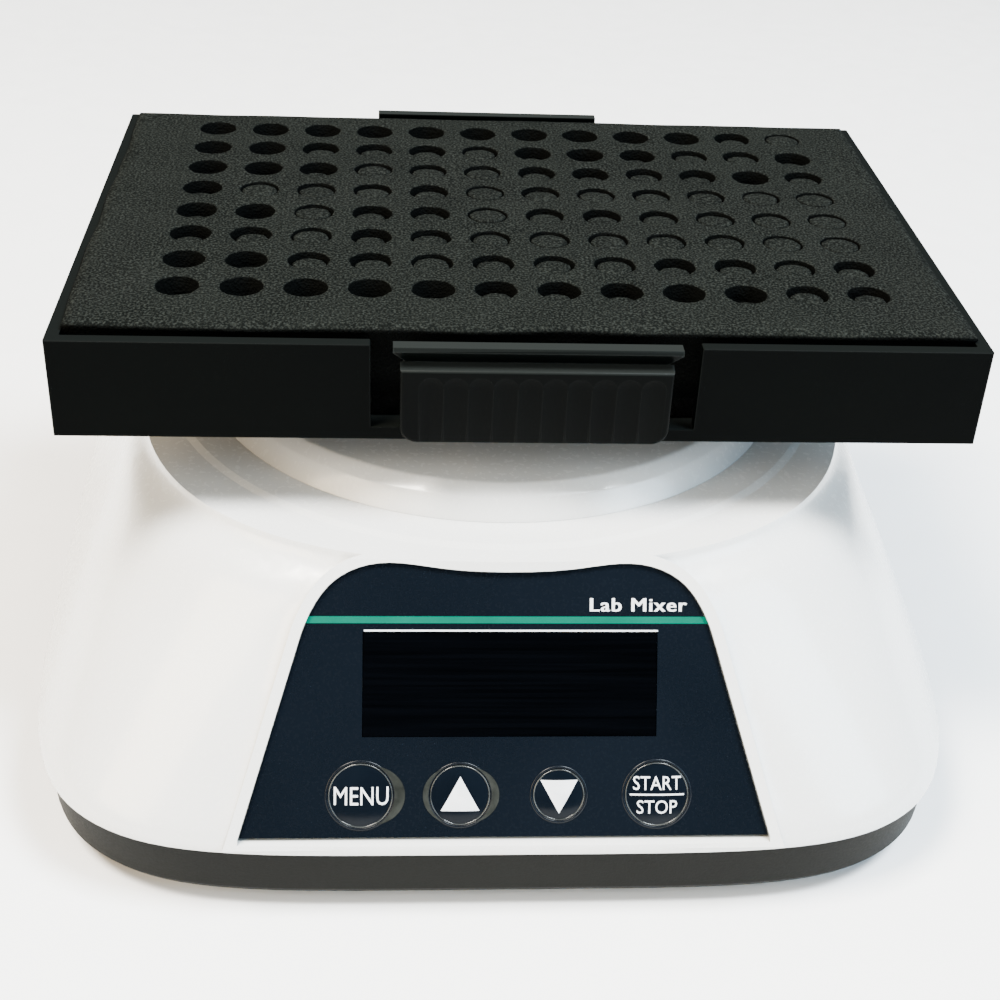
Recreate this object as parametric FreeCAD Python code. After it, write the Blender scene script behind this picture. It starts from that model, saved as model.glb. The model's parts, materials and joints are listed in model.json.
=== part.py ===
"""Microplate vortex mixer: an orbiting foam-lined tray on a weighted, glossy control housing.

Frame: millimetres, origin on the bench under the motor axis, +X right, +Y back, +Z up.
Each sub-part is one file, parts/NODE.step; identical fasteners share a node.
"""
import FreeCAD, Part
import os
from math import cos, pi, radians, sin, tan

from FreeCAD import Placement, Rotation, Vector

# ---------------------------------------------------------------- driving dimensions
ORBIT = 2.0              # crank throw: the tray runs round a circle of twice this
FOOT_HEIGHT = 3.0        # clear height under the base
SPLIT_Z = 12.0           # joint between the dark base and the white housing
SHOULDER_Z = 48.5        # top of the sloping housing
RING_TOP_Z = 53.2        # flat top of the round boss
TRAY_Z = 61.2            # underside of the tray
TRAY_SIZE = (132.0, 89.6, 15.0)
TRAY_WALL = 1.9
FOAM_TOP_Z = 77.5

BASE_HALF = (73.8, 77.5)     # half width and half depth of the footprint
BASE_TAPER = 0.035           # the footprint widens towards the back
BASE_POWER = 5.1             # squareness of the footprint
TOP_HALF = 57.0              # half width of the shoulder outline
TOP_POWER = 2.5              # squareness of the shoulder outline
SHELL_WALL = 3.0             # horizontal wall thickness of the sloping shell
RING_FOOT_R = 47.5
RING_TOP_R = 43.4
DISC_R = 54.5                # soft low disc around the ring
DRIVE_HOLE_R = 19.0

PANEL_TILT = 59.4                     # slope of the control panel from the horizontal
PANEL_TOP = Vector(0, -56.7, 46.7)    # middle of the panel's top edge
PANEL_LENGTH = 37.9                   # along the slope
PANEL_FOOT_HALF = 37.8                # half width at the bottom edge
OVERLAY_THICK = 0.8
BEZEL_RIM = 1.7                       # white rim round the overlay
BEZEL_PROUD = 0.6
WINDOW_SIZE = (42.0, 15.0)
WINDOW_AT = (0.4, -16.1)
KEY_PITCH = 14.1
KEY_ROW = -31.9
KEYS = (("key_menu", 9.2), ("key_up", 8.6), ("key_down", 7.4), ("key_start_stop", 9.2))

GRID_PITCH = 9.2
GRID_COLUMNS = 12
GRID_ROWS = 8
GRID_SHIFT = (1.0, 3.0)      # the die-cut grid sits off the middle of the insert
POCKET_R = 3.1
POCKET_DEEP = 12.0
POCKET_SHALLOW = 2.0
# die-cut plugs, front row first: O taken out, c pushed down
PLUGS = (
    "OOOOOcccOccc",
    "Occccccccccc",
    "cccccccccccc",
    "cccccccccccc",
    "cccccccccccc",
    "cccccccccccc",
    "OOcccccccccc",
    "OOOOOOOOOOcc",
)

CLIP_SHIFT = 1.4             # the clip windows sit a little right of the middle
CLIP_WINDOW = 46.2
CLIP_HALF = 19.0
CLIP_OPEN_PIN_R = 0.8

IDLER_X = 30.0               # the two idler cranks stand left and right of the motor
RUN_GAP = 0.05               # radial running clearance of a turning pin

TRAY_X = ORBIT               # the crank is parked towards the right
UP = Vector(0, 0, 1)
PANEL = Placement(PANEL_TOP, Rotation(Vector(1, 0, 0), PANEL_TILT))


# ---------------------------------------------------------------- small helpers
def box(x0, x1, y0, y1, z0, z1):
    return Part.makeBox(x1 - x0, y1 - y0, z1 - z0, Vector(x0, y0, z0))


def rod(radius, z0, z1, x=0.0, y=0.0):
    return Part.makeCylinder(radius, z1 - z0, Vector(x, y, z0), UP)


def rod_along(axis, radius, length, start):
    return Part.makeCylinder(radius, length, Vector(*start), Vector(*axis))


def tube(outer, inner, z0, z1, x=0.0, y=0.0):
    return rod(outer, z0, z1, x, y).cut(rod(inner, z0 - 1, z1 + 1, x, y))


def polygon_prism(points, push):
    """Solid between a flat polygon and the same polygon moved by push."""
    corners = [Vector(*p) for p in points]
    return Part.Face(Part.makePolygon(corners + corners[:1])).extrude(Vector(*push))


def rounded_plate(width, depth, z0, z1, corner, x=0.0, y=0.0):
    plate = box(x - width / 2, x + width / 2, y - depth / 2, y + depth / 2, z0, z1)
    upright = [e for e in plate.Edges if abs(e.BoundBox.ZLength - (z1 - z0)) < 1e-6]
    return plate.makeFillet(corner, upright)


def spun(profile):
    """Solid of revolution about Z of a closed outline given as (radius, z)."""
    corners = [Vector(r, 0, z) for r, z in profile]
    return Part.Face(Part.makePolygon(corners + corners[:1])).revolve(Vector(), UP, 360)


def fuse(shapes):
    return shapes[0].multiFuse(shapes[1:]).removeSplitter() if len(shapes) > 1 else shapes[0]


def group(shapes):
    return Part.makeCompound(shapes)


def moved(shape, x=0.0, y=0.0, z=0.0):
    copy = shape.copy()
    copy.translate(Vector(x, y, z))
    return copy


def on_panel(shape):
    """Place a shape drawn flat (x across, y up the slope, z outwards) on the control panel."""
    copy = shape.copy()
    copy.Placement = PANEL.multiply(copy.Placement)
    return copy


def screw(diameter, length, head_diameter, head_height):
    """Pan-head cross screw: shank along +Z from 0, head below 0."""
    head = rod(head_diameter / 2, -head_height, 0)
    slot = head_diameter * 0.3
    depth = -head_height * 0.45
    cross = fuse([box(-slot, slot, -0.3, 0.3, -head_height - 1, depth - 0.1),
                  box(-0.3, 0.3, -slot, slot, -head_height - 1, depth - 0.1)])
    return fuse([head.cut(cross), rod(diameter / 2, 0, length)])


def corners(dx, dy):
    return [(sx * dx, sy * dy) for sx in (-1, 1) for sy in (-1, 1)]


# ---------------------------------------------------------------- housing surface
def section(z, blend, inset=0.0):
    """Closed outline of the housing at height z, between the footprint (0) and the shoulder (1)."""
    half_x = BASE_HALF[0] + (TOP_HALF - BASE_HALF[0]) * blend - inset
    half_y = BASE_HALF[1] + (TOP_HALF - BASE_HALF[1]) * blend - inset
    power = BASE_POWER + (TOP_POWER - BASE_POWER) * blend
    steps = 48
    points = []
    for i in range(steps):
        a = 2 * pi * i / steps
        r = (abs(cos(a) / half_x) ** power + abs(sin(a) / half_y) ** power) ** (-1 / power)
        y = r * sin(a)
        widen = 1 + BASE_TAPER * (1 - blend) * y / half_y
        points.append(Vector(r * cos(a) * widen, y, z))
    curve = Part.BSplineCurve()
    curve.interpolate(points, PeriodicFlag=True)
    return Part.Wire([curve.toShape()])


def slope_blend(z):
    """How far the sloping wall has moved in at height z, kept just outside the panel plane."""
    front = -PANEL_TOP.y + (PANEL_TOP.z - z) / tan(radians(PANEL_TILT)) + 1.3
    return (BASE_HALF[1] - front) / (BASE_HALF[1] - TOP_HALF)


def housing_outer():
    levels = [(SPLIT_Z, 0.0), (SPLIT_Z + 1.0, 0.004), (SPLIT_Z + 2.4, 0.026)]
    levels += [(z, slope_blend(z)) for z in (16.8, 20.5, 26.0, 32.0, 39.0, 44.5)]
    levels += [(47.2, slope_blend(47.2) + 0.02), (SHOULDER_Z, 1.0)]
    hill = Part.makeLoft([section(z, b) for z, b in levels], True, False)
    disc = spun([(0, SHOULDER_Z - 2), (DISC_R, SHOULDER_Z - 2), (DISC_R, SHOULDER_Z - 0.1),
                 (DISC_R - 1.6, SHOULDER_Z + 0.3), (0, SHOULDER_Z + 0.3)])
    wall = (RING_FOOT_R - RING_TOP_R) / 2
    ring = spun([(0, SHOULDER_Z - 1), (RING_FOOT_R, SHOULDER_Z - 1),
                 (RING_FOOT_R, SHOULDER_Z + 0.4), (RING_TOP_R + wall, RING_TOP_Z - 1.4),
                 (RING_TOP_R, RING_TOP_Z), (0, RING_TOP_Z)])
    crest = [e for e in ring.Edges
             if e.BoundBox.ZLength < 1e-6 and e.BoundBox.ZMin > SHOULDER_Z + 1
             and e.BoundBox.XLength > 2 * RING_TOP_R - 1]
    ring = ring.makeFillet(1.2, crest)
    return fuse([hill, disc, ring])


def housing_inner():
    levels = [(SPLIT_Z - 1, 0.0), (SPLIT_Z + 2.4, 0.0)]
    levels += [(z, slope_blend(z)) for z in (19.0, 25.0, 32.0, 39.0)]
    levels += [(43.5, slope_blend(43.5)), (SHOULDER_Z - 2.6, 0.95)]
    hill = Part.makeLoft([section(z, b, SHELL_WALL) for z, b in levels], True, False)
    return fuse([hill, rod(RING_TOP_R - 2.4, SHOULDER_Z - 5, RING_TOP_Z - 2.4)])


# ---------------------------------------------------------------- control panel outlines
def panel_outline(grow=0.0):
    """Outline of the overlay, grown evenly: tapering sides, round shoulders, a dip in the top edge."""
    half = [(-29.6, -10.6), (-27.7, -5.6), (-24.6, -1.5), (-19.2, 0.9), (-9.6, 0.3), (0, -0.2)]
    points = [Vector(x, y, 0) for x, y in half + [(-x, y) for x, y in reversed(half[:-1])]]
    foot = Vector(PANEL_FOOT_HALF, -PANEL_LENGTH, 0)
    down = (foot - points[-1]).normalize()
    steps = [Vector(down.x, -down.y, 0)]
    steps += [(points[i + 1] - points[i - 1]).normalize() for i in range(1, len(points) - 1)]
    steps.append(down)
    grown = [p + Vector(-step.y, step.x, 0) * grow for p, step in zip(points, steps)]
    corner_x = foot.x + grow * (1 + down.x) / -down.y
    corner = Vector(corner_x, foot.y - grow, 0)
    opposite = Vector(-corner_x, corner.y, 0)
    top = Part.BSplineCurve()
    top.interpolate(grown)
    return Part.Wire([top.toShape(), Part.makeLine(grown[-1], corner),
                      Part.makeLine(corner, opposite), Part.makeLine(opposite, grown[0])])


def panel_prism(grow, z0, z1):
    return moved(Part.Face(panel_outline(grow)), z=z0).extrude(Vector(0, 0, z1 - z0))


def key_places():
    start = WINDOW_AT[0] - 1.5 * KEY_PITCH
    return [(name, size / 2, start + i * KEY_PITCH) for i, (name, size) in enumerate(KEYS)]


def window_cutter(grow, z0, z1):
    half_w, half_h = WINDOW_SIZE[0] / 2 + grow, WINDOW_SIZE[1] / 2 + grow
    x, y = WINDOW_AT
    return box(x - half_w, x + half_w, y - half_h, y + half_h, z0, z1)


# ---------------------------------------------------------------- rear connector bay
BAY_HALF = 27.0
BAY_WALL_Y = 66.0        # outer face of the upright wall that carries switch and socket
BAY_FLOOR_Z = 13.6
BAY_TOP_Z = 34.0
BAY_MID_Z = 22.5
SWITCH_X = -13.0
SOCKET_X = 14.0
SWITCH_CUT = (9.2, 13.6)
SOCKET_R = 5.5

BOSS_AT = corners(55.4, 24.0)
BOSS_R = 3.6
FOOT_AT = corners(50.0, 56.0)
BOARD_POSTS = ((-29.0, -12.0), (29.0, -12.0), (-29.0, -35.2), (29.0, -35.2))
BOARD_DEPTH = 8.0        # component side of the board, below the panel face
BOARD_THICK = 1.6


def make_top_housing():
    """White shell: posts, bosses and thick walls are left standing when the cavity is cut out."""
    outer = housing_outer()
    bezel = on_panel(panel_prism(BEZEL_RIM, -3.0, BEZEL_PROUD))
    bay_wall = box(-BAY_HALF - 2.4, BAY_HALF + 2.4, BAY_WALL_Y - 2.4, 90, SPLIT_Z + 0.2, BAY_TOP_Z + 2)
    kept = [rod(BOSS_R, FOOT_HEIGHT, SHOULDER_Z - 10, x, y) for x, y in BOSS_AT]
    kept += [on_panel(rod(2.2, -BOARD_DEPTH, 2.0, x, y)) for x, y in BOARD_POSTS]
    cavity = housing_inner()
    for solid in kept + [bay_wall, bezel]:
        cavity = cavity.cut(solid)
    above_base = box(-90, 90, -90, 0, SPLIT_Z + 0.2, SHOULDER_Z)
    shell = outer.cut(cavity).fuse(bezel.common(above_base))
    for x, y in BOSS_AT:
        shell = shell.fuse(rod(BOSS_R - 0.2, FOOT_HEIGHT + 3.2, SPLIT_Z + 3, x, y))

    cutters = [on_panel(panel_prism(0.15, -OVERLAY_THICK, 12))]
    foot = PANEL.multVec(Vector(-PANEL_FOOT_HALF - 0.2, -PANEL_LENGTH, 0))
    ledge = [foot + Vector(0, 0.8, -0.5), foot + Vector(0, -14, -0.8), foot + Vector(0, -14, 8.3)]
    cutters.append(polygon_prism(ledge, (-2 * foot.x, 0, 0)))
    cutters.append(on_panel(window_cutter(0.2, -6, 1)))
    cutters += [on_panel(rod(r + 0.5, -6, 1, x, KEY_ROW)) for _, r, x in key_places()]
    cutters += [on_panel(rod(0.8, -BOARD_DEPTH - 1, -4.0, x, y)) for x, y in BOARD_POSTS]
    cutters.append(box(-BAY_HALF, BAY_HALF, BAY_WALL_Y, 95, BAY_FLOOR_Z, BAY_TOP_Z))
    half_w, half_h = SWITCH_CUT[0] / 2, SWITCH_CUT[1] / 2
    cutters.append(box(SWITCH_X - half_w, SWITCH_X + half_w, BAY_WALL_Y - 5, BAY_WALL_Y + 1,
                       BAY_MID_Z - half_h, BAY_MID_Z + half_h))
    cutters.append(rod_along((0, 1, 0), SOCKET_R, 6, (SOCKET_X, BAY_WALL_Y - 5, BAY_MID_Z)))
    cutters.append(rod(DRIVE_HOLE_R, 40, 60))
    cutters += [rod(6.5, 40, 60, s * IDLER_X, 0) for s in (-1, 1)]
    cutters += [rod(1.25, 0, FOOT_HEIGHT + 14, x, y) for x, y in BOSS_AT]
    for cutter in cutters:
        shell = shell.cut(cutter)
    return shell


# ---------------------------------------------------------------- base
FLOOR_Z = FOOT_HEIGHT + 2.5      # upper face of the base floor


def make_base_shell():
    outer = Part.makeLoft([section(FOOT_HEIGHT, 0, 1.9), section(FOOT_HEIGHT + 1.0, 0, 1.3),
                           section(SPLIT_Z, 0, 0.8)], True, True)
    hollow = Part.makeLoft([section(FLOOR_Z, 0, 5.0), section(SPLIT_Z + 5, 0, 5.0)], True, True)
    tongue = Part.makeLoft([section(SPLIT_Z - 2, 0, 3.5), section(SPLIT_Z + 2.2, 0, 3.5)], True, True)
    panel_gap = box(-42, 42, -90, -60, SPLIT_Z, 20)
    bay_gap = box(-BAY_HALF - 4, BAY_HALF + 4, 60, 90, SPLIT_Z, 20)
    boss_gaps = [rod(4.2, SPLIT_Z - 2, 20, x, y) for x, y in BOSS_AT]
    tongue = tongue.cut(fuse([panel_gap, bay_gap] + boss_gaps))
    shell = fuse([outer, tongue]).cut(hollow)
    pads = [rod(5.0, FLOOR_Z - 0.1, FLOOR_Z + 4, x, y) for x, y in FOOT_AT]
    shell = fuse([shell] + pads)
    cutters = [rod(1.7, 0, 12, x, y) for x, y in BOSS_AT]
    cutters += [rod(3.2, 0, FOOT_HEIGHT + 1.4, x, y) for x, y in BOSS_AT]
    cutters += [rod(7.0, 0, FOOT_HEIGHT + 1.0, x, y) for x, y in FOOT_AT]
    cutters += [rod(1.25, 0, FLOOR_Z + 3, x, y) for x, y in FOOT_AT]
    vents = range(-4, 5)
    cutters += [box(-14, 14, 5.0 * i - 1, 5.0 * i + 1, 0, FLOOR_Z + 1) for i in vents]
    return shell.cut(fuse(cutters))


def make_feet():
    foot = spun([(0, 0), (6.2, 0), (7.0, 0.8), (6.8, FOOT_HEIGHT + 1.0), (0, FOOT_HEIGHT + 1.0)])
    foot = foot.cut(fuse([rod(3.0, -1, 2.0), rod(1.6, 0, 6)]))
    return group([moved(foot, x, y) for x, y in FOOT_AT])


def make_ballast_plate():
    plate = rounded_plate(96, 112, FLOOR_Z, FLOOR_Z + 4, 10)
    holes = [rod(5.6, 0, 20, x, y) for x, y in FOOT_AT + BOSS_AT]
    holes += [rod(2.2, 0, 20, x, y) for x, y in PILLAR_AT]
    return plate.cut(fuse(holes + [rod(16, 0, 20)]))


# ---------------------------------------------------------------- motor, bracket and cranks
BALLAST_TOP_Z = FLOOR_Z + 4.0
BRACKET_Z = 31.0             # underside of the bracket plate
BRACKET_THICK = 2.0
PILLAR_AT = corners(36.0, 20.0)
MOTOR_R = 21.0
MOTOR_SCREW_AT = corners(11.0, 11.0)
SHAFT_R = 2.5
CRANK_PIN_R = 4.0
BEARING = (11.0, 4.0, 47.0, 54.0)    # outer radius, bore radius, bottom and top
CARRIER_Z = 57.4                      # underside of the tray carrier
SHAFT_TOP_Z = 41.6
RETAINER_THICK = 0.6


def make_pillars():
    pillar = tube(3.0, 1.25, BALLAST_TOP_Z, BRACKET_Z)
    return group([moved(pillar, x, y) for x, y in PILLAR_AT])


def make_bracket():
    top = BRACKET_Z + BRACKET_THICK
    plate = rounded_plate(84, 52, BRACKET_Z, top, 6)
    seats = [rod(6.5, top - 0.5, top + 3.0, s * IDLER_X, 0) for s in (-1, 1)]
    plate = fuse([plate] + seats)
    holes = [rod(6.0, 0, 60)] + [rod(4.0, 0, 60, s * IDLER_X, 0) for s in (-1, 1)]
    holes += [rod(1.7, 0, 60, x, y) for x, y in PILLAR_AT + MOTOR_SCREW_AT]
    return plate.cut(fuse(holes))


def make_motor_can():
    can = spun([(0, 10.6), (MOTOR_R - 1, 10.6), (MOTOR_R, 11.6), (MOTOR_R, BRACKET_Z - 1),
                (MOTOR_R - 1, BRACKET_Z), (0, BRACKET_Z)])
    boss = rod(5.8, BRACKET_Z - 1, BRACKET_Z + 1.6)
    hollow = rod(MOTOR_R - 1.5, 12.2, BRACKET_Z - 2.5)
    bore = fuse([rod(5.0, 11.6, 16), rod(5.0, BRACKET_Z - 4, BRACKET_Z + 0.6), rod(3.2, 11.6, 60)])
    threads = [rod(1.3, BRACKET_Z - 5, 60, x, y) for x, y in MOTOR_SCREW_AT]
    return fuse([can, boss]).cut(fuse([hollow, bore] + threads))


def make_motor_bearings():
    low = tube(5.0, SHAFT_R + RUN_GAP, 12.2, 15.8)
    high = tube(5.0, SHAFT_R + RUN_GAP, BRACKET_Z - 3.6, BRACKET_Z + 0.4)
    return group([low, high])


def make_motor_coils():
    """Stator: laminated ring with nine wound poles, fixed in the can."""
    ring = tube(MOTOR_R - 1.5, MOTOR_R - 4.5, 17.0, BRACKET_Z - 5)
    poles = []
    for i in range(9):
        pole = box(11.8, MOTOR_R - 4.2, -1.6, 1.6, 17.6, BRACKET_Z - 5.6)
        pole.rotate(Vector(), UP, 40 * i)
        poles.append(pole)
    return fuse([ring] + poles)


def make_motor_shaft():
    shaft = rod(SHAFT_R, 12.4, SHAFT_TOP_Z)
    flat = box(SHAFT_R - 0.5, SHAFT_R + 1, -3, 3, 36.6, 45)
    return shaft.cut(flat)


def make_motor_magnet():
    return tube(11.2, SHAFT_R, 17.4, BRACKET_Z - 5.4)


def make_eccentric():
    """Crank hub with its counterweight on the side away from the crank pin."""
    hub = rod(8.0, 36.4, 44.4)
    weight = rod(19.0, 37.0, 43.0).cut(box(-3, 30, -30, 30, 30, 50))
    neck = box(-6, 0, -7, 7, 37.0, 43.0)
    body = fuse([hub, weight, neck])
    shaft_bore = rod(SHAFT_R, 30, SHAFT_TOP_Z)
    pin_bore = rod(2.0, SHAFT_TOP_Z + 0.8, 50, TRAY_X, 0)
    set_screw_bore = rod_along((1, 0, 0), 1.5, 12, (1.5, 0, 39.6))
    return body.cut(fuse([shaft_bore, pin_bore, set_screw_bore]))


def make_set_screw():
    screw_body = rod_along((1, 0, 0), 1.5, 5, (2.1, 0, 39.6))
    return screw_body.cut(rod_along((1, 0, 0), 0.75, 3, (5.4, 0, 39.6)))


def make_crank_pin():
    pin = fuse([rod(CRANK_PIN_R, BEARING[2], BEARING[3] + 0.2), rod(5.4, 44.4, BEARING[2])])
    pin = fuse([pin, rod(2.0, SHAFT_TOP_Z + 0.8, 45)]).cut(rod(1.25, 48, 60))
    return moved(pin, TRAY_X)


def make_crank_screw():
    washer = rod(5.4, BEARING[3] + 0.2, BEARING[3] + 1.0)
    head = rod(2.8, BEARING[3] + 0.9, BEARING[3] + 3.0).cut(
        box(-0.3, 0.3, -2, 2, BEARING[3] + 2.2, BEARING[3] + 4))
    return moved(fuse([washer, head, rod(1.25, 48.4, BEARING[3] + 1)]), TRAY_X)


BALL_R = 1.9
BALL_CIRCLE_R = 7.5


def groove(radius):
    mid = (BEARING[2] + BEARING[3]) / 2
    return Part.makeTorus(BALL_CIRCLE_R, radius, Vector(0, 0, mid), UP)


def make_bearing_inner():
    ring = tube(6.0, BEARING[1], BEARING[2], BEARING[3]).cut(groove(BALL_R + 0.3))
    return moved(ring, TRAY_X)


def make_bearing_outer():
    ring = tube(BEARING[0], 9.0, BEARING[2], BEARING[3]).cut(groove(BALL_R + 0.1))
    return moved(ring, TRAY_X)


def make_bearing_balls():
    mid = (BEARING[2] + BEARING[3]) / 2
    count = 7
    balls = [Part.makeSphere(BALL_R, Vector(BALL_CIRCLE_R * cos(2 * pi * i / count) + TRAY_X,
                                            BALL_CIRCLE_R * sin(2 * pi * i / count), mid))
             for i in range(count)]
    return group(balls)


def make_idler_crank(side):
    """Crank with the motor crank's throw: it keeps the tray square while it orbits."""
    web_z = BRACKET_Z + BRACKET_THICK + 3.6
    lower = rod(SHAFT_R, BRACKET_Z - 2, web_z + 1)
    web = fuse([rod(5.0, web_z, web_z + 3), rod(5.0, web_z, web_z + 3, ORBIT, 0)])
    upper = rod(SHAFT_R, web_z + 2, CARRIER_Z + 3.2, ORBIT, 0)
    collar = rod(3.6, web_z + 2, CARRIER_Z - 2.4, ORBIT, 0)
    return moved(fuse([lower, web, upper, collar]), side * IDLER_X)


def make_bracket_bushes():
    top = BRACKET_Z + BRACKET_THICK + 3.0
    bush = fuse([rod(4.0, BRACKET_Z, top), rod(5.4, top, top + 0.5)])
    bush = bush.cut(rod(SHAFT_R + RUN_GAP, 0, 60))
    return group([moved(bush, s * IDLER_X) for s in (-1, 1)])


def make_carrier():
    """Aluminium tray carrier: hub for the crank bearing and two seats for the idler cranks."""
    plate = rounded_plate(84, 44, CARRIER_Z, TRAY_Z, 8)
    hub = rod(14.0, BEARING[2] - 2 * RETAINER_THICK, CARRIER_Z + 1)
    seats = [rod(6.0, CARRIER_Z - 1.6, CARRIER_Z + 1, s * IDLER_X, 0) for s in (-1, 1)]
    body = fuse([plate, hub] + seats)
    cutters = [rod(BEARING[0], 40, BEARING[3]), rod(8.0, 40, TRAY_Z + 1),
               rod(12.1, BEARING[2] - RETAINER_THICK, BEARING[2])]
    cutters += [rod(4.0, 50, CARRIER_Z + 3.4, s * IDLER_X, 0) for s in (-1, 1)]
    cutters += [rod(1.25, 50, 70, x, y) for x, y in TRAY_SCREW_AT]
    return moved(body.cut(fuse(cutters)), TRAY_X)


def make_carrier_bushes():
    bush = tube(4.0, SHAFT_R + RUN_GAP, CARRIER_Z - 1.6, CARRIER_Z + 3.4)
    return group([moved(bush, s * IDLER_X + TRAY_X) for s in (-1, 1)])


def make_bearing_clip():
    """Spring ring that holds the bearing in the hub, from below."""
    ring = tube(12.0, 9.6, BEARING[2] - RETAINER_THICK, BEARING[2]).cut(box(-3, 3, 5, 20, 40, 50))
    return moved(ring, TRAY_X)


def make_dust_collar():
    """Rubber grommet that lines the drive opening."""
    lip = spun([(16.6, RING_TOP_Z - 3.4), (DRIVE_HOLE_R + 1.6, RING_TOP_Z - 3.4),
                (DRIVE_HOLE_R + 1.6, RING_TOP_Z - 2.4), (DRIVE_HOLE_R, RING_TOP_Z - 2.4),
                (DRIVE_HOLE_R, RING_TOP_Z), (DRIVE_HOLE_R + 2.0, RING_TOP_Z),
                (DRIVE_HOLE_R + 1.4, RING_TOP_Z + 1.0), (17.4, RING_TOP_Z + 1.4),
                (16.6, RING_TOP_Z + 0.8)])
    return lip


# ---------------------------------------------------------------- tray, clips and foam
TRAY_SCREW_AT = corners(18.0, 16.0)
WALL_Y = TRAY_SIZE[1] / 2            # outer face of the long walls, from the tray's middle
FLOOR_TOP_Z = TRAY_Z + 2.0
PIN_Y = -WALL_Y + 0.4                # clip pivot, just inside the wall's outer face
PIN_Z = TRAY_Z + 3.8
LUG_X = 13.0
FOAM_SIZE = (127.6, 85.2)


def both_ends(shape):
    """A front-wall shape and its copy turned half round the tray's middle."""
    back = shape.copy()
    back.rotate(Vector(), UP, 180)
    return [shape, back]


def make_tray():
    width, depth, height = TRAY_SIZE
    outer = box(-width / 2, width / 2, -depth / 2, depth / 2, TRAY_Z, TRAY_Z + height)
    inner = box(-width / 2 + TRAY_WALL, width / 2 - TRAY_WALL, -depth / 2 + TRAY_WALL,
                depth / 2 - TRAY_WALL, FLOOR_TOP_Z, TRAY_Z + height + 1)
    window = box(CLIP_SHIFT - CLIP_WINDOW / 2, CLIP_SHIFT + CLIP_WINDOW / 2,
                 -depth / 2 - 1, -depth / 2 + TRAY_WALL + 0.01, FLOOR_TOP_Z, TRAY_Z + height + 1)
    tray = outer.cut(fuse([inner] + both_ends(window)))
    lugs = []
    for side in (-1, 1):
        x = CLIP_SHIFT + side * LUG_X
        eye = rod_along((1, 0, 0), 1.4, 3, (x - 1.5, PIN_Y, PIN_Z))
        stem = box(x - 1.5, x + 1.5, -WALL_Y, PIN_Y + 1.0, FLOOR_TOP_Z - 0.5, PIN_Z)
        lug = fuse([eye, stem]).cut(rod_along((1, 0, 0), CLIP_OPEN_PIN_R, 5, (x - 2.5, PIN_Y, PIN_Z)))
        lugs += both_ends(lug)
    tray = fuse([tray] + lugs)
    sinks = [Part.makeCone(1.6, 3.1, 1.5, Vector(x, y, FLOOR_TOP_Z - 1.5), UP) for x, y in TRAY_SCREW_AT]
    holes = [rod(1.6, TRAY_Z - 1, FLOOR_TOP_Z + 1, x, y) for x, y in TRAY_SCREW_AT]
    return moved(tray.cut(fuse(sinks + holes)), TRAY_X)


def make_tray_screws():
    head = Part.makeCone(1.25, 3.0, 1.5, Vector(0, 0, FLOOR_TOP_Z - 1.6), UP)
    one = fuse([head, rod(1.25, CARRIER_Z + 0.4, FLOOR_TOP_Z - 1)])
    one = one.cut(fuse([box(-1.5, 1.5, -0.25, 0.25, FLOOR_TOP_Z - 0.8, 70),
                        box(-0.25, 0.25, -1.5, 1.5, FLOOR_TOP_Z - 0.8, 70)]))
    return group([moved(one, x + TRAY_X, y) for x, y in TRAY_SCREW_AT])


FLUTE_COUNT = 10
FLUTE_PITCH = 3.44
FLUTE_R = 6.0
FLUTE_DEPTH = 0.26


def clip_outline(points):
    """Outline across the clip, given as (how far in front of the tray wall, height)."""
    return [(-20.0, -WALL_Y - proud, z) for proud, z in points]


def make_flutes(front, foot, end):
    """Cutters for the upright hollows of the thumb pad, each with a rounded upper end."""
    flutes = []
    for i in range(FLUTE_COUNT):
        x = (i - (FLUTE_COUNT - 1) / 2) * FLUTE_PITCH + 0.8
        y = front - FLUTE_R + FLUTE_DEPTH
        flutes += [rod(FLUTE_R, foot - 1, end, x, y), Part.makeSphere(FLUTE_R, Vector(x, y, end))]
    return flutes


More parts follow.
